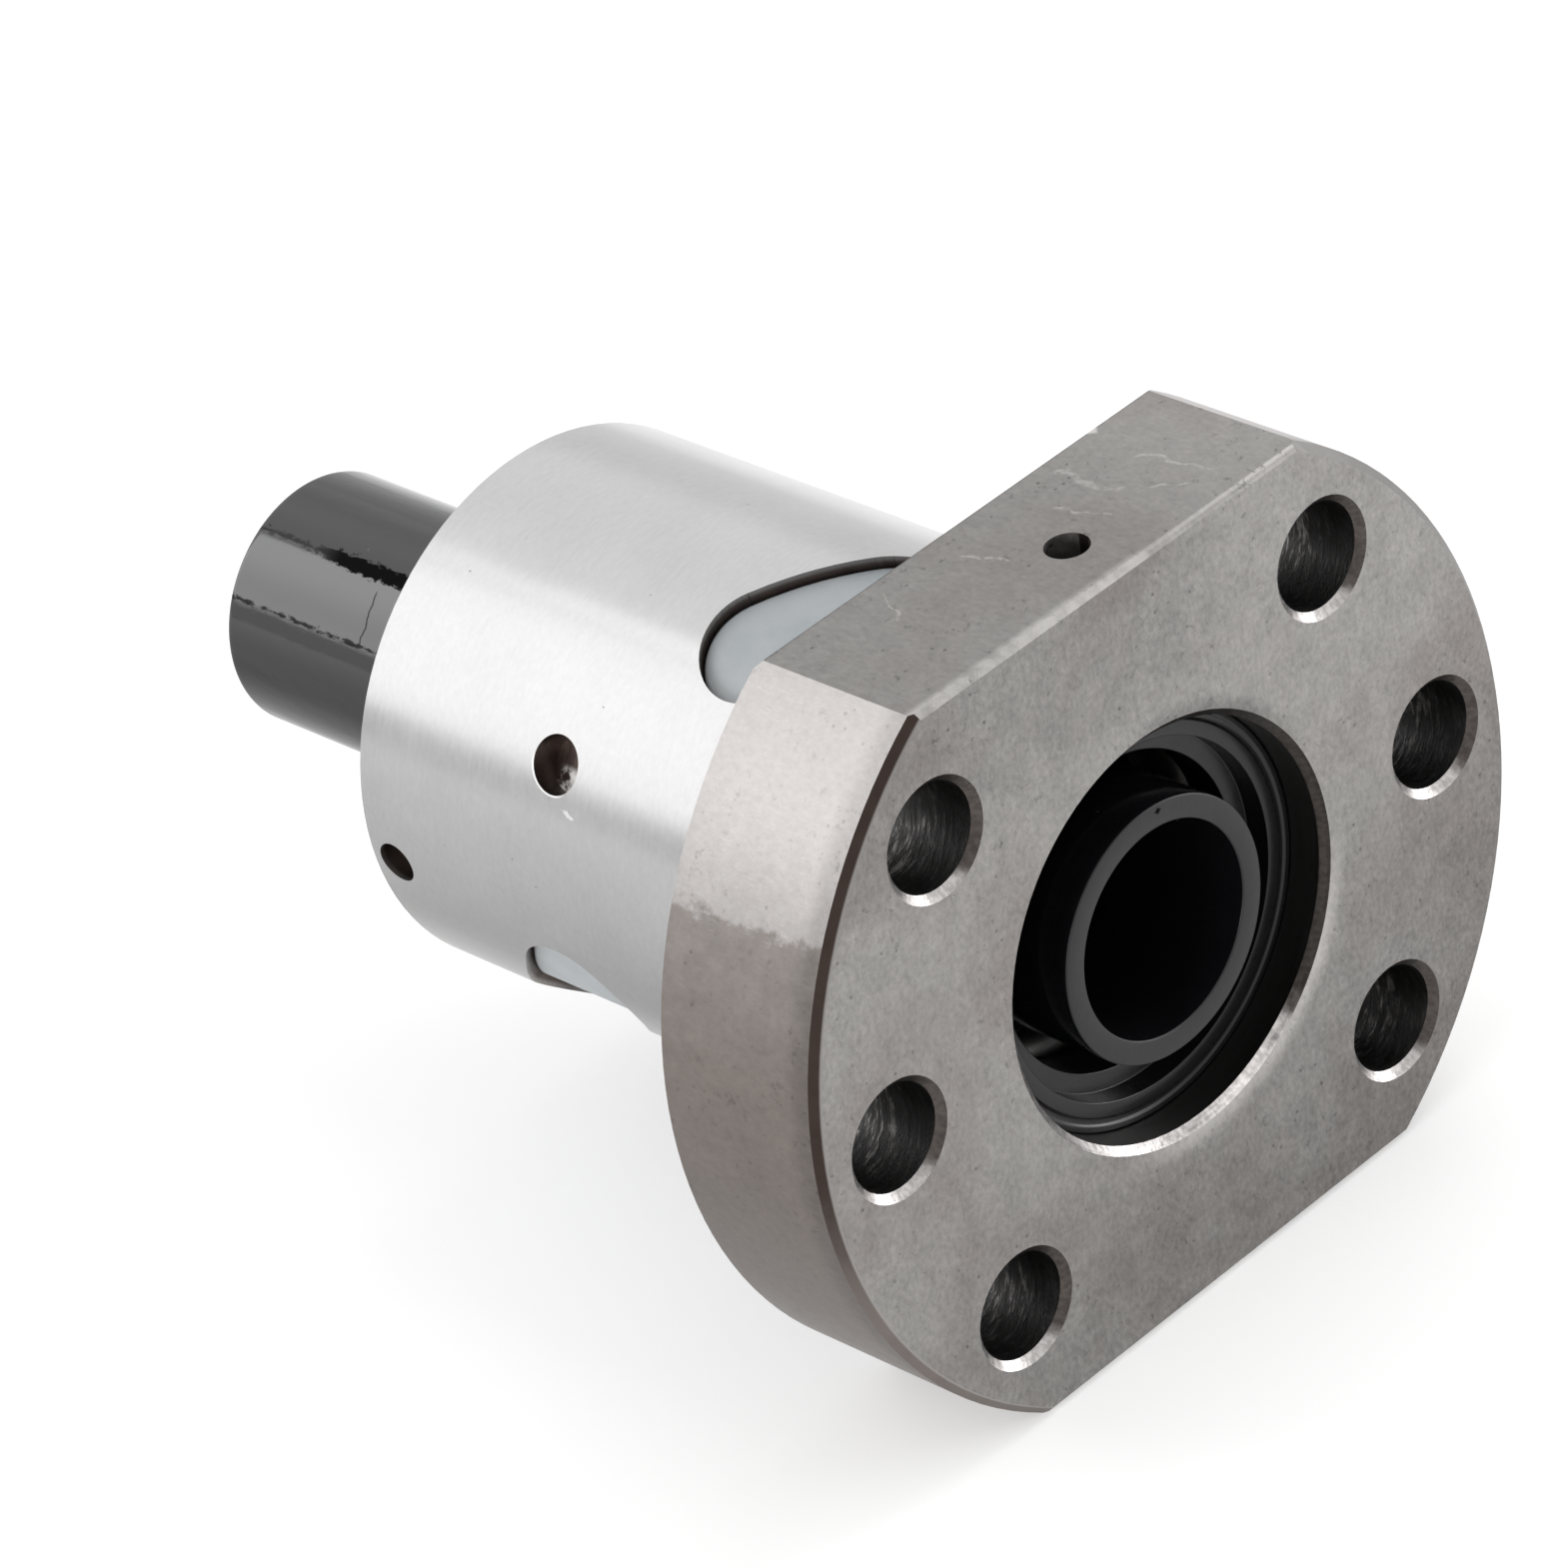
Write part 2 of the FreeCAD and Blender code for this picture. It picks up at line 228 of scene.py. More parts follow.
class Finish:
    """A procedural material on Object coordinates, counted in millimetres."""

    def __init__(self, name):
        self.material = bpy.data.materials.new(name)
        self.material.use_nodes = True
        self.tree = self.material.node_tree
        self.tree.nodes.clear()
        source = self.node("ShaderNodeTexCoord").outputs["Object"]
        self.place = self.node("ShaderNodeMapping", inputs={"Vector": source, "Scale": (1000,) * 3})
        split = self.node("ShaderNodeSeparateXYZ", inputs={"Vector": self.place.outputs[0]})
        self.x, self.y, self.z = (Value(self, out) for out in split.outputs)

    def node(self, kind, settings=None, inputs=None):
        """Adds a node: its settings first, then the values or links of its sockets."""
        node = self.tree.nodes.new(kind)
        for key, value in (settings or {}).items():
            setattr(node, key, value)
        for key, value in (inputs or {}).items():
            socket = node.inputs[key]
            if isinstance(value, Value):
                value = value.socket
            if isinstance(value, bpy.types.NodeSocket):
                self.tree.links.new(value, socket)
            elif socket.type == "RGBA" and len(value) == 3:
                socket.default_value = (*value, 1)
            else:
                socket.default_value = value
        return node

    def constant_first(self, operation, first, value):
        node = self.node("ShaderNodeMath", {"operation": operation}, {0: first, 1: value})
        return Value(self, node.outputs[0])

    def turn(self):
        """Angle round the nut's axis, in degrees up from -Y."""
        down = self.constant_first("SUBTRACT", 0.0, self.y)
        return self.z.math("ARCTAN2", down) * math.degrees(1)

    def radius(self):
        return (self.y * self.y + self.z * self.z) ** 0.5

    def stretched(self, scale, turn=(0, 0, 0)):
        """The place in millimetres, stretched by scale after a turn."""
        if not isinstance(scale, tuple):
            scale = (scale,) * 3
        turned = self.node("ShaderNodeMapping", inputs={
            "Vector": self.place.outputs[0], "Rotation": turn})
        return self.node("ShaderNodeMapping", inputs={
            "Vector": turned.outputs[0], "Scale": scale}).outputs[0]

    def noise(self, scale, detail=3.0, roughness=0.55, turn=(0, 0, 0)):
        """Noise of so many waves a millimetre, one number or one for each axis."""
        return self.noise_at(self.stretched(scale, turn), detail, roughness)

    def noise_of(self, x, y, z, detail=2.0, roughness=0.5):
        """Noise on three values in place of the coordinates."""
        vector = self.node("ShaderNodeCombineXYZ", inputs={0: x, 1: y, 2: z}).outputs[0]
        return self.noise_at(vector, detail, roughness)

    def noise_at(self, vector, detail, roughness):
        node = self.node("ShaderNodeTexNoise", inputs={
            "Vector": vector, "Scale": 1.0, "Detail": detail, "Roughness": roughness})
        return Value(self, node.outputs[0])

    def cells(self, scale):
        """Distance to the nearest of scattered points, so many to the millimetre."""
        node = self.node("ShaderNodeTexVoronoi", inputs={
            "Vector": self.stretched(scale), "Scale": 1.0})
        return Value(self, node.outputs["Distance"])

    def mix(self, mask, first, second):
        """A colour: first where mask is 0 and second where it is 1."""
        node = self.node("ShaderNodeMix", {"data_type": "RGBA"}, {0: mask, 6: first, 7: second})
        return node.outputs[2]

    def shade(self, tint, factor):
        """A colour made lighter or darker by a value."""
        grey = self.node("ShaderNodeCombineXYZ", inputs={0: factor, 1: factor, 2: factor})
        node = self.node("ShaderNodeVectorMath", {"operation": "MULTIPLY"}, {
            0: tint, 1: grey.outputs[0]})
        return node.outputs[0]

    def segment(self, start, end, wobble=0.0):
        """Distance in the XY plane to a straight line, and 1 along it, faded at its ends."""
        ax, ay = start
        span = Vector(end) - Vector(start)
        reach, step = span.length, span.normalized()
        along = (self.x - ax) * step.x + (self.y - ay) * step.y
        across = (self.y - ay) * step.x - (self.x - ax) * step.y
        return abs(across + wobble), along.rise(0, 0.3) * along.rise(reach, reach - 0.3)

    def surface(self, tint, roughness, height, depth, other=METAL, dull=None):
        """The material's shader: colour, roughness, relief in microns and other sockets.

        dull is a mask of spots with no gloss at all.
        """
        relief = self.node("ShaderNodeBump", inputs={
            "Strength": 1.0, "Distance": depth * MICRON, "Height": height})
        shader = self.node("ShaderNodeBsdfPrincipled", inputs={
            "Base Color": tint, "Roughness": roughness, "Normal": relief.outputs[0], **other})
        if dull is not None:
            matt = self.node("ShaderNodeBsdfDiffuse", inputs={"Color": MATT_BLACK})
            shader = self.node("ShaderNodeMixShader", inputs={
                0: dull, 1: shader.outputs[0], 2: matt.outputs[0]})
        self.node("ShaderNodeOutputMaterial", inputs={"Surface": shader.outputs[0]})
        return self.material


# Steel finishes.


def ground_barrel(steel):
    """Ground outside of the barrel: fine marks round the axis, a few nicks."""
    f = Finish("ground_barrel")
    lines = f.noise((6.0, 0.5, 0.5), detail=4, roughness=0.65)
    short = f.noise((4.0, 2.2, 2.2), detail=4, roughness=0.65)
    cloud = f.noise(0.22, detail=4)
    nicks = f.cells((0.55, 0.8, 0.8)).rise(0.055, 0.02) * f.noise(0.4, detail=1).rise(0.5, 0.56)
    tone = 1.0 + (lines - 0.5) * 0.10 + (short - 0.5) * 0.17 + (cloud - 0.5) * 0.14
    rough = 0.23 + (lines - 0.5) * 0.10 + (cloud - 0.5) * 0.10
    turn = f.turn()
    # painted light along the top, beside the lamp's highlight, and painted shade underneath, where
    # the barrel reflects the floor's shadow
    tone = tone + turn.rise(59.0, 64.0) * 0.26 - turn.rise(67.0, 80.0) * 0.08
    tone = tone - turn.rise(24.0, -16.0) * 0.22 - turn.rise(-6.0, -24.0) * 0.14
    tint = f.mix(nicks * 0.7, f.shade(tuple(steel.ground), tone), tuple(steel.edge))
    # bright burr on the locating hole's lower edge, and a chip beside it
    angle = math.radians(LOCATING_ANGLE)
    down = f.y * -math.sin(angle) + f.z * math.cos(angle)
    off = ((f.x - LOCATING_X) ** 2 + down ** 2) ** 0.5
    burr = off.rise(1.62, 1.57) * (down - f.x * 0.6).rise(11.5, 12.4)
    chip = (abs(f.x + 17.4 - short) * 0.45 + abs(down - 7.2 - f.x * 0.3)).rise(0.22, 0.12)
    near = f.y.rise(-9.0, -10.0)
    tint = f.mix(burr.larger(chip * 0.6) * near, tint, BRIGHT_CHIP)
    return f.surface(tint, rough, lines * 0.6 + short * 0.5 - nicks, 1.7)


def flange_grain(f):
    """The flange's shared texture: fine grain, mottle, slow cloud and tiny pits."""
    grain = f.noise((2.2, 3.4, 2.6), detail=3, roughness=0.7)
    mottle = f.noise(0.8, detail=4, roughness=0.6)
    cloud = f.noise(0.13, detail=3)
    pits = f.cells(1.1).rise(0.15, 0.05) * f.noise(0.45, detail=1).rise(0.46, 0.60)
    patch = f.noise(0.24, detail=1).rise(0.40, 0.56)
    spots = f.noise(1.5, detail=6, roughness=0.75).rise(0.565, 0.66) * patch
    pits = pits.larger(spots * 0.8)
    return grain, mottle, cloud, pits


def flange_steel(steel):
    """Flange faces: matt, finely speckled, a little brown in places."""
    f = Finish("flange_steel")
    grain, mottle, cloud, pits = flange_grain(f)
    radius = f.radius()
    tint = f.mix(cloud.rise(0.42, 0.66) * 0.45, tuple(steel.flange), tuple(steel.stain))
    blotch = f.noise(0.5, detail=5, roughness=0.65)
    tone = 1.0 + (grain - 0.5) * 0.85 + (mottle - 0.5) * 0.34 + (blotch - 0.5) * 0.5 - pits * 0.36
    # round the bore's mouth: a painted highlight at the lower right, painted shade above
    side = f.y * 0.45 - f.z * 0.85
    tone = tone + radius.rise(12.3, 11.1) * side.rise(5.0, 9.5) * 0.60
    tone = tone - radius.rise(12.0, 11.1) * side.rise(3.0, -5.0) * f.y.rise(-3.0, 4.0) * 0.30
    tone = tone - f.z.rise(10.5, 15.0) * f.y.rise(9.0, 3.0) * 0.15
    # painted shade: the lower right is dimmer, where the face reflects the floor's shadow
    tone = tone - (f.z * 0.9 - f.y * 0.35).rise(3.0, -20.0) * 0.24
    rough = 0.48 + (mottle - 0.5) * 0.14 + (grain - 0.5) * 0.12
    return f.surface(f.shade(tint, tone), rough, grain - pits * 1.5, 12)


# Start, end and width of the scratches on the flats, in millimetres.
FLAT_SCRATCHES = (
    ((2.4, -2.4), (4.6, -0.9), 0.10),
    ((3.3, 3.1), (6.3, 4.4), 0.09),
    ((1.0, 5.6), (5.2, 6.6), 0.10),
    ((3.6, 8.6), (8.0, 9.7), 0.11),
    ((5.8, 6.2), (7.6, 8.2), 0.07),
    ((1.4, -5.8), (3.9, -7.4), 0.05),
)


def flat_steel(steel):
    """The flats: mottled grey, with worn front edges and a few pale scratches."""
    f = Finish("flat_steel")
    grain, mottle, cloud, pits = flange_grain(f)
    wobble = (f.noise(0.33, detail=2) - 0.5) * 3.2
    patchy = f.noise(2.2, detail=3).rise(0.35, 0.6)
    marks = 0.0
    for start, end, width in FLAT_SCRATCHES:
        off, span = f.segment(start, end, wobble)
        marks = (off.rise(width * 1.6, width * 0.4) * span * patchy).larger(marks)
    marks = marks * f.z.rise(19.9, 19.95)
    nick = (abs(f.x - 0.35) + abs(f.y - 9.2)).rise(0.45, 0.2) * f.z.rise(19.6, 19.8)
    # the worn front edge gets thin towards the right
    thin = f.y.rise(-2.0, 7.0)
    worn = (f.x - thin * 0.35).rise(9.15, 9.72) * (mottle.rise(0.30, 0.60) * 0.6 + 0.4)
    worn = worn * (1.0 - thin * 0.55)
    tint = f.mix(cloud.rise(0.42, 0.66) * 0.3, f.shade(tuple(steel.flange), 0.9),
                 tuple(steel.stain))
    tone = 0.88 + (grain - 0.5) * 0.50 + (mottle - 0.5) * 0.34 - pits * 0.4
    # painted light towards +Y, and painted shade on the rear break, where it catches the light; the
    # front break is darker towards the right
    tone = tone + f.y.rise(2.0, 12.0) * 0.16 - f.x.rise(0.42, 0.28) * 0.45
    tone = tone - f.x.rise(9.80, 9.86) * thin * 0.40
    light = (worn * 0.7).larger(marks * 0.42).larger(nick)
    tint = f.mix(light, f.shade(tint, tone), tuple(steel.worn))
    rough = 0.50 + (mottle - 0.5) * 0.16 + light * 0.10
    return f.surface(tint, rough, grain - pits * 1.5, 12)


def rim_steel(steel):
    """The rim: warm white above a ragged line, brown-grey below."""
    f = Finish("rim_steel")
    grain, mottle, cloud, pits = flange_grain(f)
    ragged = (f.noise((0.55, 0.8, 0.8), detail=5, roughness=0.68) - 0.5) * 3.4
    height = f.z + ragged - f.x * 0.05
    clean = height.rise(3.0, 11.6) * 0.28 + height.rise(10.9, 11.5) * 0.72
    scratch = f.noise((1.2, 2.5, 7.0), detail=3, turn=(0.5, 0, 0)).rise(0.55, 0.7)
    edge = (height.rise(9.3, 10.8) * height.rise(11.5, 10.9)) * f.x.rise(4.0, 7.0)
    tint = f.mix(clean, tuple(steel.stain), tuple(steel.rim))
    tint = f.mix(edge * 0.12, tint, f.shade(tuple(steel.stain), 0.6))
    tone = 1.0 + (grain - 0.5) * 0.30 + (mottle - 0.5) * 0.26 + (cloud - 0.5) * 0.2 - pits * 0.25
    tone = tone + scratch * 0.05 - f.z.rise(16.5, 11.5) * 0.15 - f.x.rise(7.8, 9.3) * 0.20
    rough = 0.42 + (mottle - 0.5) * 0.16
    return f.surface(f.shade(tint, tone), rough, grain * 0.7 + scratch * 0.4, 8)


def edge_steel(steel):
    """The rim's front chamfer: dark brown at the left, worn lighter below, painted shade at the
    right.
    """
    f = Finish("edge_steel")
    mottle = f.noise(0.7, detail=4, roughness=0.65)
    worn = (f.z + (mottle - 0.5) * 5.0).rise(1.0, -9.0).larger(f.y.rise(-6.0, 4.0))
    # painted shade: at the right the chamfer takes a darkened flange colour, where it catches the
    # light
    plain = f.y.rise(-7.0, 0.0)
    line = f.x.rise(9.88, 9.97) * (1.0 - plain)
    tint = f.mix(worn * 0.85, tuple(steel.edge), tuple(steel.stain))
    tint = f.mix(plain, tint, f.shade(tuple(steel.flange), 0.5))
    tint = f.mix(line * 0.45, f.shade(tint, 0.75 + mottle * 0.5), tuple(steel.worn))
    return f.surface(tint, 0.38 + mottle * 0.12, mottle, 10)


def cut_steel(steel):
    """Countersinks and the bore's mouth: bright with fine chatter, and painted shade, tinted brown,
    on their upper sides.
    """
    f = Finish("cut_steel")
    chatter = f.noise((0.8, 3.2, 3.2), detail=3, roughness=0.6)
    cloud = f.noise(0.35, detail=3)
    # place in the nearest bolt hole, counted towards the upper right
    pitch = BOLT_RADIUS * math.sin(math.radians(45))
    middle = abs(f.z).rise(7.0, 6.0) * (BOLT_RADIUS - pitch) + pitch
    across = (abs(f.y) - middle) * f.y.math("SIGN")
    hole = f.z.math("WRAP", pitch / 2, -pitch / 2) * 0.75 + across * 0.65
    mouth = f.radius().rise(12.5, 12.0)
    place = hole + (f.z * 0.13 + f.y * 0.08 - hole - 0.3) * mouth
    # painted shade, tinted the stain's brown, on the upper side of each countersink and of the
    # mouth
    upper = (place + (cloud - 0.5) * 1.6).rise(-1.5, -0.5)
    polish = f.noise_of(f.radius() * 7.0, f.y * 0.3, f.x)
    # a painted highlight on the mouth's +Y side, painted shade on its -Y side, and the mouth's
    # painted shade deeper
    bright = f.shade(tuple(steel.cut), 1.0 + mouth * (f.y.rise(-3.0, 4.0) * 0.9 - 0.25))
    dark = f.shade(tuple(steel.stain), 0.40 - mouth * 0.17)
    tint = f.mix(upper, bright, dark)
    tone = 0.80 + chatter.rise(0.35, 0.65) * 0.40 + (polish - 0.5) * mouth * 0.9
    return f.surface(f.shade(tint, tone), 0.28 + chatter * 0.10, chatter, 20)


def drilled_steel(steel):
    """Walls of the bolt holes: near black as painted shade, with the drill's bright marks deep
    inside.
    """
    f = Finish("drilled_steel")
    tilt = f.x + f.z * 0.22 + f.y * 0.10
    marks = f.noise_of(tilt * 3.6, f.y * 0.7, f.z * 0.7, detail=5, roughness=0.75)
    cloud = f.noise(0.33, detail=3)
    deep = f.x.rise(8.4, 6.6) * 0.85 + 0.12
    bright = marks.rise(0.50, 0.66) * cloud.rise(0.36, 0.52) * deep
    tint = f.mix(bright, f.shade(tuple(steel.drilled), 0.6 + marks * 0.7), tuple(steel.streak))
    return f.surface(tint, 0.36 + (marks - 0.5) * 0.25, marks, 40)


def pocket_steel(steel):
    """Milled pockets and radial holes: brown walls, the edge under the barrel worn light."""
    f = Finish("pocket_steel")
    marks = f.noise((2.4, 2.4, 0.8), detail=4, roughness=0.7)
    cloud = f.noise(0.6, detail=3)
    radius = f.radius()
    # no light lip on the locating hole, whose floor glints instead
    lip = radius.rise(13.62, 13.9) * radius.rise(14.2, 14.1)
    lip = lip * (1.0 - f.y.rise(-10.4, -10.8) * f.z.rise(3.0, 4.0))
    floor = radius.rise(12.62, 12.58) * marks.rise(0.44, 0.54)
    floor = floor * f.x.rise(-19.4, -18.9) * f.z.rise(6.3, 5.8)
    light = (lip * 0.55).larger(floor * 0.9).larger(marks.rise(0.62, 0.74) * 0.35)
    tint = f.mix(light, f.shade(tuple(steel.pocket), 0.6 + cloud * 0.8), tuple(steel.worn))
    tint = f.mix(floor, tint, HOLE_GLINT)
    rough = 0.36 + (marks - 0.5) * 0.2 + floor * 0.45
    return f.surface(tint, rough, marks, 25)


def bored_steel(steel):
    """The bore: turned seats, lands and the ball track, kept near black as painted shade."""
    f = Finish("bored_steel")
    lines = f.noise((9.0, 0.3, 0.3), detail=3)
    cloud = f.noise(0.4, detail=3)
    tone = 0.7 + lines * 0.35 + cloud * 0.3
    return f.surface(f.shade(tuple(steel.bore), tone), 0.26 + lines * 0.12, lines, 2)


def turned_steel(steel):
    """Turned ring faces: the flange's mounting face and the barrel's rear end."""
    f = Finish("turned_steel")
    lines = f.noise_of(f.radius() * 5.0, f.x * 0.3, f.y * 0.05, detail=3)
    tone = 0.55 + lines * 0.25 + f.noise(0.2, detail=4) * 0.3
    return f.surface(f.shade(tuple(steel.ground), tone), 0.34 + lines * 0.1, lines, 3)


def ball_steel(steel):
    """Polished balls with a trace of oil."""
    f = Finish("ball_steel")
    film = f.noise(0.9, detail=3)
    tint = f.shade(tuple(steel.ball), 0.92 + film * 0.12)
    return f.surface(tint, 0.06 + film * 0.08, film, 0.6)


def pin_steel(steel):
    """Blued pin steel."""
    f = Finish("pin_steel")
    grain = f.noise(5.0, detail=3)
    tint = f.shade(tuple(steel.pin), 0.8 + grain * 0.4)
    return f.surface(tint, 0.38 + grain * 0.15, grain, 4)


# Plastic finishes.


def sleeve_plastic(plastic):
    """Glossy charcoal tube with two ragged rubbed lines and a hairline scratch."""
    f = Finish("sleeve_plastic")
    turn = f.turn()
    waves = f.noise((0.25, 0.8, 0.8), detail=4)
    dust = f.cells(1.0).rise(0.09, 0.03) * f.noise(0.6, detail=1).rise(0.52, 0.64)
    end = f.x.rise(SLEEVE_HIGH.x - 0.12, SLEEVE_HIGH.x - 0.02)
    # ragged lines on the tail, the upper one thick near the barrel
    ragged = f.noise((1.3, 3.2, 3.2), detail=5, roughness=0.75) - 0.5
    thick = f.x.rise(-45.6, -43.4)
    upper = 1.7 + thick * 2.2 + ragged * 13.0 - abs(turn - RUBBED_UPPER)
    lower = 0.8 + ragged * 9.0 - abs(turn - RUBBED_LOWER)
    rubbed = (upper.rise(0.0, 0.9) * (thick * 0.5 + 0.5)).larger(lower.rise(0.0, 0.9) * 0.85)
    rubbed = rubbed * f.x.rise(-36.0, -38.0)
    wander = f.noise((0.1, 0.6, 0.6), detail=3) - 0.5
    hair = abs(f.x - HAIRLINE_X + wander).rise(0.07, 0.02) * turn.rise(29, 31) * turn.rise(56, 54)
    nick = (abs(f.y - 0.87) * 0.8 + abs(f.z - 6.3)).rise(0.26, 0.10) * f.x.rise(9.2, 9.3)
    # painted sheen: a coat between the lines and a fainter one above and below, where the lamp's
    # highlight falls; painted shade: dull underneath
    wall = f.x.rise(4.0, 0.0)
    shade = turn.rise(8.0, -4.0) * 0.28 * wall
    painted_sheen = turn.rise(29.6, 30.8) * turn.rise(63.6, 62.4) * (turn.rise(36.0, 54.0) * 0.28 + 0.72)
    faint_painted_sheen = turn.rise(4.0, 26.0) * (0.45 - turn.rise(74.0, 90.0) * 0.30)
    tint = f.mix(end, tuple(plastic.sleeve), tuple(plastic.sleeve_cut))
    tint = f.mix(dust * 0.25, f.shade(tint, 0.8 + waves * 0.4), SLEEVE_DUST)
    rough = 0.07 + waves * 0.07 + end * 0.34 + dust * 0.3
    coat = {"IOR": 1.42, "Coat Weight": painted_sheen.larger(faint_painted_sheen) * wall, "Coat IOR": 1.70,
            "Coat Roughness": 0.08}
    dull = rubbed.larger(hair * 0.8).larger(nick).larger(shade)
    return f.surface(tint, rough, waves + dust * 0.05, 30, coat, dull)


def wiper_plastic(plastic):
    """Glossy black moulding with fine rings."""
    f = Finish("wiper_plastic")
    rings = f.noise_of(f.radius() * 5.0, f.x * 4.0, 0.0)
    haze = f.noise(0.8, detail=4)
    dust = f.cells(1.5).rise(0.08, 0.03) * f.noise(0.9, detail=1).rise(0.54, 0.62)
    tint = f.mix(dust * 0.25, f.shade(tuple(plastic.wiper), 0.8 + haze * 0.5), WIPER_DUST)
    rough = 0.20 + haze * 0.14 + rings * 0.05
    return f.surface(tint, rough, rings + dust * 0.2, 3, {"IOR": 1.42})


def insert_plastic(plastic):
    """Pale blue-grey deflectors with a soft moulded sheen."""
    f = Finish("insert_plastic")
    haze = f.noise(0.35, detail=4)
    grain = f.noise(9.0, detail=2)
    tint = f.mix(haze.rise(0.35, 0.7), tuple(plastic.insert), INSERT_SHADE)
    inside = {"IOR": 1.5, "Subsurface Weight": 0.15, "Subsurface Scale": 0.0006,
              "Subsurface Radius": (0.9, 1.0, 1.0)}
    return f.surface(f.shade(tint, 0.92 + grain * 0.12), 0.36 + haze * 0.15, grain, 3, inside)


# Pieces.


def add_piece(bm, name, body, materials, nodes):
    """Makes the mesh an object that rides on a body and stands for CAD nodes."""
    mesh = bpy.data.meshes.new(name)
    bm.to_mesh(mesh)
    bm.free()
    for material in materials:
        mesh.materials.append(material)
    piece = bpy.data.objects.new(name, mesh)
    bpy.context.scene.collection.objects.link(piece)
    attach(piece, body)
    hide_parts(*nodes)


def dress(names, material):
    """Gives CAD nodes a material and leaves their meshes as they are."""
    for name in names:
        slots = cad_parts[name].data.materials
        slots.clear()
        slots.append(material)


def smooth_by_angle(bm, limit=28):
    for face in bm.faces:
        face.smooth = True
    for edge in bm.edges:
        edge.smooth = edge.calc_face_angle(0) < math.radians(limit)


def merged_copy(node):
    """A CAD node's mesh with its loose triangles joined."""
    bm = bmesh.new()
    bm.from_mesh(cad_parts[node].data)
    bmesh.ops.remove_doubles(bm, verts=bm.verts, dist=1e-7)
    smooth_by_angle(bm)
    return bm


def near_bolt(y, z):
    """True inside a bolt hole or its countersink."""
    return any(math.hypot(y - BOLT_RADIUS * math.cos(math.radians(a)),
                          z - BOLT_RADIUS * math.sin(math.radians(a))) < SINK_RADIUS
               for a in BOLT_ANGLES)


def body_finish(face):
    """Which of the nut body's finishes a face has."""
    x, y, z = face.calc_center_median() / MM
    n = face.normal
    radius = math.hypot(y, z)
    outward = (n.y * y + n.z * z) / max(radius, 1e-6)
    slanted = 0.4 < n.x < 0.9
    if x < -0.01:
        if outward > 0.97 and radius > BARREL_RADIUS:
            return "barrel"
        if radius > BARREL_RADIUS and abs(n.x) > 0.5:
            return "turned"
        if radius < SEAT_RADIUS and outward < 0.5:
            return "bored"
        return "turned" if abs(n.x) > 0.9 and x < BODY_LOW.x + 0.5 else "pocket"
    if near_bolt(y, z) and abs(n.x) < 0.98:
        return "cut" if slanted else "drilled"
    if radius < MOUTH_RADIUS and slanted and x > MOUTH_X:
        return "cut"
    if radius < MOUTH_RADIUS and x < BODY_HIGH.x - 0.01:
        return "bored" if radius < SEAT_RADIUS else "pocket"
    if abs(n.x) > 0.9 and x < 0.01:
        return "turned"
    if abs(z) > FLAT_Z and abs(n.z) > 0.6 and abs(n.y) < 0.1:
        return "flat"
    if radius > RIM_RADIUS and outward > 0.5:
        return "edge" if slanted else "rim"
    return "pocket" if abs(n.x) < 0.3 else "flange"


class BALLNUT_OT_body(bpy.types.Operator):
    """Nut body with its ground barrel, matt flange, drilled holes and bore"""

    bl_idname = "ballnut.body"
    bl_label = "Nut Body"

    def execute(self, context):
        steel = context.scene.ball_nut.steel
        finishes = {
            "flange": flange_steel(steel), "barrel": ground_barrel(steel),
            "flat": flat_steel(steel), "rim": rim_steel(steel), "edge": edge_steel(steel),
            "cut": cut_steel(steel), "drilled": drilled_steel(steel),
            "pocket": pocket_steel(steel), "bored": bored_steel(steel),
            "turned": turned_steel(steel)}
        order = list(finishes)
        bm = merged_copy("nut_body")
        for face in bm.faces:
            face.material_index = order.index(body_finish(face))
        add_piece(bm, "steel_nut_body", "nut", finishes.values(), ["nut_body"])
        return {"FINISHED"}


def turned_ring(profile, rounding, steps=144):
    """A closed profile of (x, radius) in millimetres spun round X, sharp edges rounded."""
    bm = bmesh.new()
    points = [bm.verts.new((x * MM, 0, r * MM)) for x, r in profile]
    edges = [bm.edges.new((a, b)) for a, b in zip(points, points[1:] + points[:1])]
    bmesh.ops.spin(bm, geom=points + edges, cent=(0, 0, 0), axis=(1, 0, 0),
                   angle=2 * math.pi, steps=steps, use_merge=True)
    bmesh.ops.remove_doubles(bm, verts=bm.verts, dist=1e-7)
    bmesh.ops.recalc_face_normals(bm, faces=bm.faces)
    corners = [e for e in bm.edges if e.calc_face_angle(0) > math.radians(40)]
    bmesh.ops.bevel(bm, geom=corners, offset=rounding, segments=3, affect="EDGES", profile=0.5,
                    material=-1)
    smooth_by_angle(bm, 40)
    return bm


class BALLNUT_OT_wipers(bpy.types.Operator):
    """Black wiper rings at both ends of the bore"""

    bl_idname = "ballnut.wipers"
    bl_label = "Wipers"

    def execute(self, context):
        plastic = context.scene.ball_nut.plastic
        material = wiper_plastic(plastic)
        for node, out in (("front_wiper", 1), ("rear_wiper", -1)):
            low, high = box_mm(node)
            depth = high.x - low.x
            back = low.x if out > 0 else high.x
            step, groove = depth - WIPER_STEP_DEPTH, depth - WIPER_GROOVE_DEPTH
            top, side, inner_side, inner_top = WIPER_GROOVE
            # distance from the ring's back, and radius
            profile = [(0, WIPER_BORE), (0, high.z), (depth, high.z), (depth, top),
                       (groove, side), (groove, inner_side), (depth, inner_top),
                       (depth, WIPER_STEP), (step, WIPER_STEP), (step, WIPER_BORE)]
            bm = turned_ring([(back + out * d, r) for d, r in profile],
                             plastic.edge_round * 0.6)
            add_piece(bm, "moulded_" + node, "nut", [material], [node])
        return {"FINISHED"}


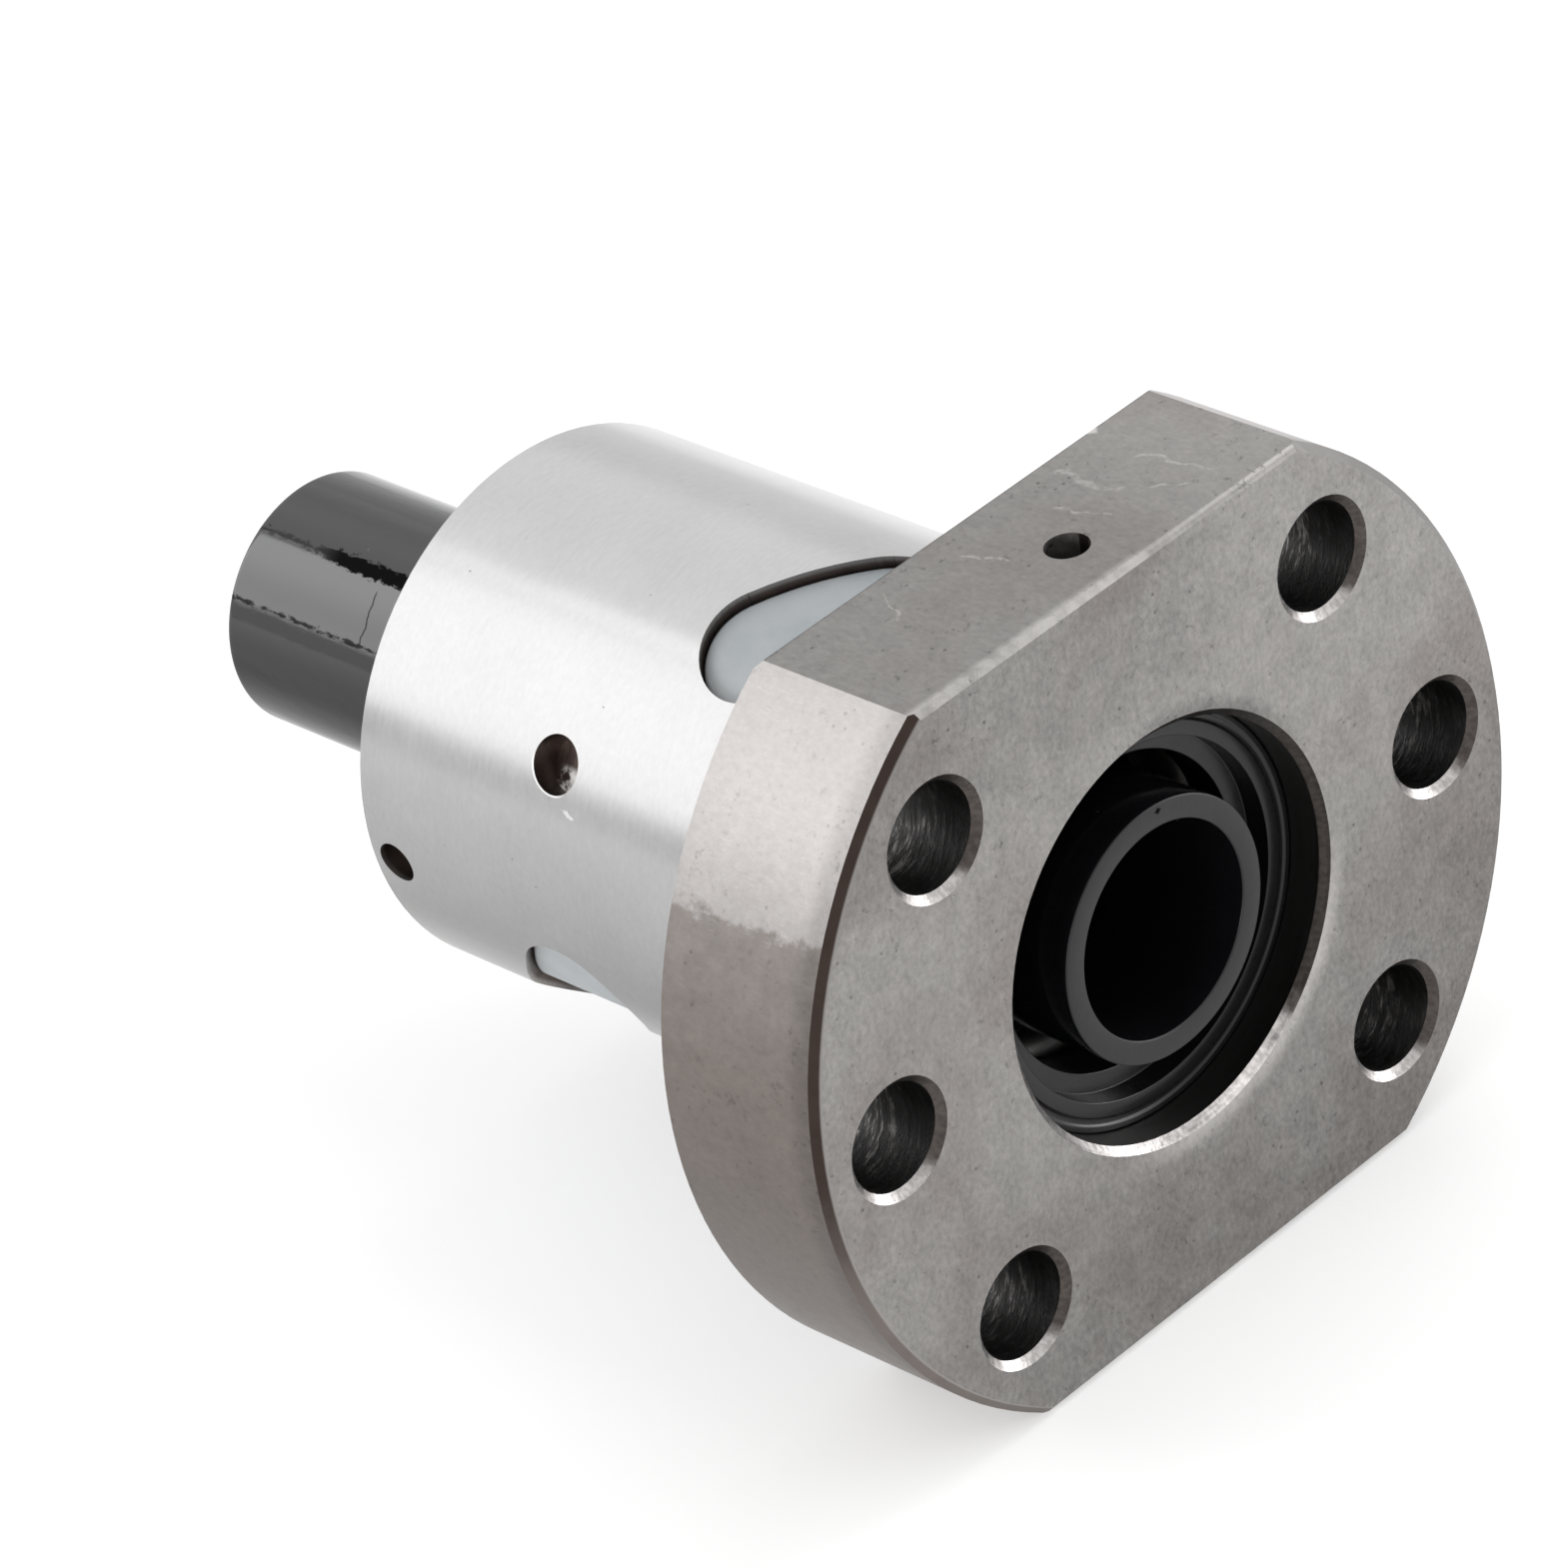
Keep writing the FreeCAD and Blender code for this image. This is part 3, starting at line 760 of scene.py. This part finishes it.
class BALLNUT_OT_deflectors(bpy.types.Operator):
    """Pale plastic return deflectors in the barrel's pockets"""

    bl_idname = "ballnut.deflectors"
    bl_label = "Return Deflectors"

    def execute(self, context):
        material = insert_plastic(context.scene.ball_nut.plastic)
        for node in sorted(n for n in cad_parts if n.startswith("return_deflector")):
            bm = merged_copy(node)
            add_piece(bm, "moulded_" + node, "nut", [material], [node])
        return {"FINISHED"}


class BALLNUT_OT_sleeve(bpy.types.Operator):
    """Glossy charcoal transport sleeve through the bore"""

    bl_idname = "ballnut.sleeve"
    bl_label = "Transport Sleeve"

    def execute(self, context):
        plastic = context.scene.ball_nut.plastic
        a, b = SLEEVE_LOW.x, SLEEVE_HIGH.x
        outer = SLEEVE_HIGH.z
        inner = outer - SLEEVE_WALL
        # rings close to both ends keep the shading of the long walls straight
        c, d = a + SLEEVE_RING, b - SLEEVE_RING
        bm = turned_ring([(a, inner), (a, outer), (c, outer), (d, outer), (b, outer), (b, inner),
                          (d, inner), (c, inner)], plastic.edge_round)
        add_piece(bm, "smooth_transport_sleeve", "sleeve",
                  [sleeve_plastic(plastic)], ["transport_sleeve"])
        return {"FINISHED"}


class BALLNUT_OT_balls(bpy.types.Operator):
    """Polished balls of the three circuits"""

    bl_idname = "ballnut.balls"
    bl_label = "Balls"

    def execute(self, context):
        dress([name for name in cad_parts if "_ball_" in name],
              ball_steel(context.scene.ball_nut.steel))
        return {"FINISHED"}


class BALLNUT_OT_pins(bpy.types.Operator):
    """Steel pins that lock the wipers"""

    bl_idname = "ballnut.pins"
    bl_label = "Wiper Pins"

    def execute(self, context):
        dress(("front_wiper_pin", "rear_wiper_pin"), pin_steel(context.scene.ball_nut.steel))
        return {"FINISHED"}


# Studio.


def add_lamp(name, direction, distance, size, power):
    """A rectangular lamp that looks at the nut. direction is (azimuth, elevation) in degrees."""
    azimuth, elevation = (math.radians(a) for a in direction)
    away = Vector((math.cos(azimuth) * math.cos(elevation), math.sin(azimuth) * math.cos(elevation),
                   math.sin(elevation)))
    lamp = bpy.data.lights.new(name, "AREA")
    lamp.shape = "RECTANGLE"
    lamp.size, lamp.size_y = size
    lamp.energy = power
    holder = bpy.data.objects.new(name, lamp)
    turn = (-away).to_track_quat("-Z", "Y").to_matrix().to_4x4()
    holder.matrix_world = Matrix.Translation(Vector(LAMP_TARGET) + away * distance) @ turn
    bpy.context.scene.collection.objects.link(holder)


def seen(nodes, links):
    """A value that is 1 for camera, glossy and transmission rays."""
    path = nodes.new("ShaderNodeLightPath")
    total = path.outputs["Is Camera Ray"]
    for name in ("Is Glossy Ray", "Is Transmission Ray"):
        larger = nodes.new("ShaderNodeMath")
        larger.operation = "MAXIMUM"
        links.new(total, larger.inputs[0])
        links.new(path.outputs[name], larger.inputs[1])
        total = larger.outputs[0]
    return total


def white_paper():
    """The floor's material: it glows a little where it is seen, so that it looks white."""
    paper = bpy.data.materials.new("white_paper")
    paper.use_nodes = True
    nodes, links = paper.node_tree.nodes, paper.node_tree.links
    nodes.clear()
    plain = nodes.new("ShaderNodeBsdfDiffuse")
    plain.inputs["Color"].default_value = PAPER_LIT
    shaded = nodes.new("ShaderNodeBsdfDiffuse")
    shaded.inputs["Color"].default_value = PAPER_SEEN
    glow = nodes.new("ShaderNodeEmission")
    glow.inputs["Strength"].default_value = PAPER_GLOW
    both = nodes.new("ShaderNodeAddShader")
    pick = nodes.new("ShaderNodeMixShader")
    out = nodes.new("ShaderNodeOutputMaterial")
    links.new(shaded.outputs[0], both.inputs[0])
    links.new(glow.outputs[0], both.inputs[1])
    links.new(seen(nodes, links), pick.inputs["Fac"])
    links.new(plain.outputs[0], pick.inputs[1])
    links.new(both.outputs[0], pick.inputs[2])
    links.new(pick.outputs[0], out.inputs["Surface"])
    return paper


def add_floor(gap):
    bm = bmesh.new()
    bmesh.ops.create_circle(bm, cap_ends=True, segments=96, radius=FLOOR_RADIUS)
    bmesh.ops.translate(bm, verts=bm.verts, vec=(0, 0, BODY_LOW.z * MM - gap))
    mesh = bpy.data.meshes.new("floor")
    bm.to_mesh(mesh)
    bm.free()
    mesh.materials.append(white_paper())
    floor = bpy.data.objects.new("floor", mesh)
    bpy.context.scene.collection.objects.link(floor)


def white_room(ambient):
    """White surroundings: full white where they are seen, ambient as light on the nut."""
    world = bpy.data.worlds.new("white_room")
    world.use_nodes = True
    nodes, links = world.node_tree.nodes, world.node_tree.links
    back = nodes["Background"]
    back.inputs["Color"].default_value = (1, 1, 1, 1)
    strength = nodes.new("ShaderNodeMapRange")
    strength.inputs["To Min"].default_value = ambient
    strength.inputs["To Max"].default_value = 1.0
    links.new(seen(nodes, links), strength.inputs["Value"])
    links.new(strength.outputs["Result"], back.inputs["Strength"])
    return world


def photo_camera(studio):
    lens = bpy.data.cameras.new("photo_camera")
    lens.lens = studio.focal
    lens.sensor_width = 36.0
    lens.sensor_fit = "HORIZONTAL"
    lens.clip_start = 0.01
    camera = bpy.data.objects.new("photo_camera", lens)
    right, up = Vector(studio.right).normalized(), Vector(studio.up).normalized()
    turn = Matrix((right, up, right.cross(up))).transposed().to_4x4()
    camera.matrix_world = Matrix.Translation(studio.eye) @ turn
    bpy.context.scene.collection.objects.link(camera)
    return camera


class BALLNUT_OT_studio(bpy.types.Operator):
    """White floor, white surroundings, soft lamps and the camera"""

    bl_idname = "ballnut.studio"
    bl_label = "Studio"

    def execute(self, context):
        scene = context.scene
        studio = scene.ball_nut.studio
        scene.view_settings.view_transform = "Standard"
        add_floor(studio.floor_gap)
        scene.world = white_room(studio.ambient)
        for name, direction, distance, size, power in LAMPS:
            add_lamp(name + "_lamp", direction, distance, size, power * studio.lamps)
        scene.camera = photo_camera(studio)
        return {"FINISHED"}


class BALLNUT_PT_panel(bpy.types.Panel):
    """The nut's settings and the steps that build it"""

    bl_label = "Ball Nut"
    bl_space_type = "VIEW_3D"
    bl_region_type = "UI"
    bl_category = "Ball Nut"

    def draw(self, context):
        settings = context.scene.ball_nut
        for title, group in (("Steel", settings.steel), ("Plastic", settings.plastic),
                             ("Studio", settings.studio)):
            box = self.layout.box()
            box.label(text=title)
            for key in group.bl_rna.properties.keys():
                if key not in ("rna_type", "name"):
                    box.prop(group, key)
        for operator in OPERATORS:
            self.layout.operator(operator.bl_idname)


GROUPS = (SteelSettings, PlasticSettings, StudioSettings, NutSettings)
OPERATORS = (BALLNUT_OT_body, BALLNUT_OT_wipers, BALLNUT_OT_deflectors, BALLNUT_OT_sleeve,
             BALLNUT_OT_balls, BALLNUT_OT_pins, BALLNUT_OT_studio)
CLASSES = (*GROUPS, *OPERATORS, BALLNUT_PT_panel)


def register():
    for cls in CLASSES:
        bpy.utils.register_class(cls)
    bpy.types.Scene.ball_nut = bpy.props.PointerProperty(
        type=NutSettings, name="Ball nut", description="Settings of the ball screw nut")


def unregister():
    del bpy.types.Scene.ball_nut
    for cls in reversed(CLASSES):
        bpy.utils.unregister_class(cls)


def main():
    register()
    for step in ("body", "wipers", "deflectors", "sleeve", "balls", "pins", "studio"):
        getattr(bpy.ops.ballnut, step)()


if __name__ == "__main__":
    main()
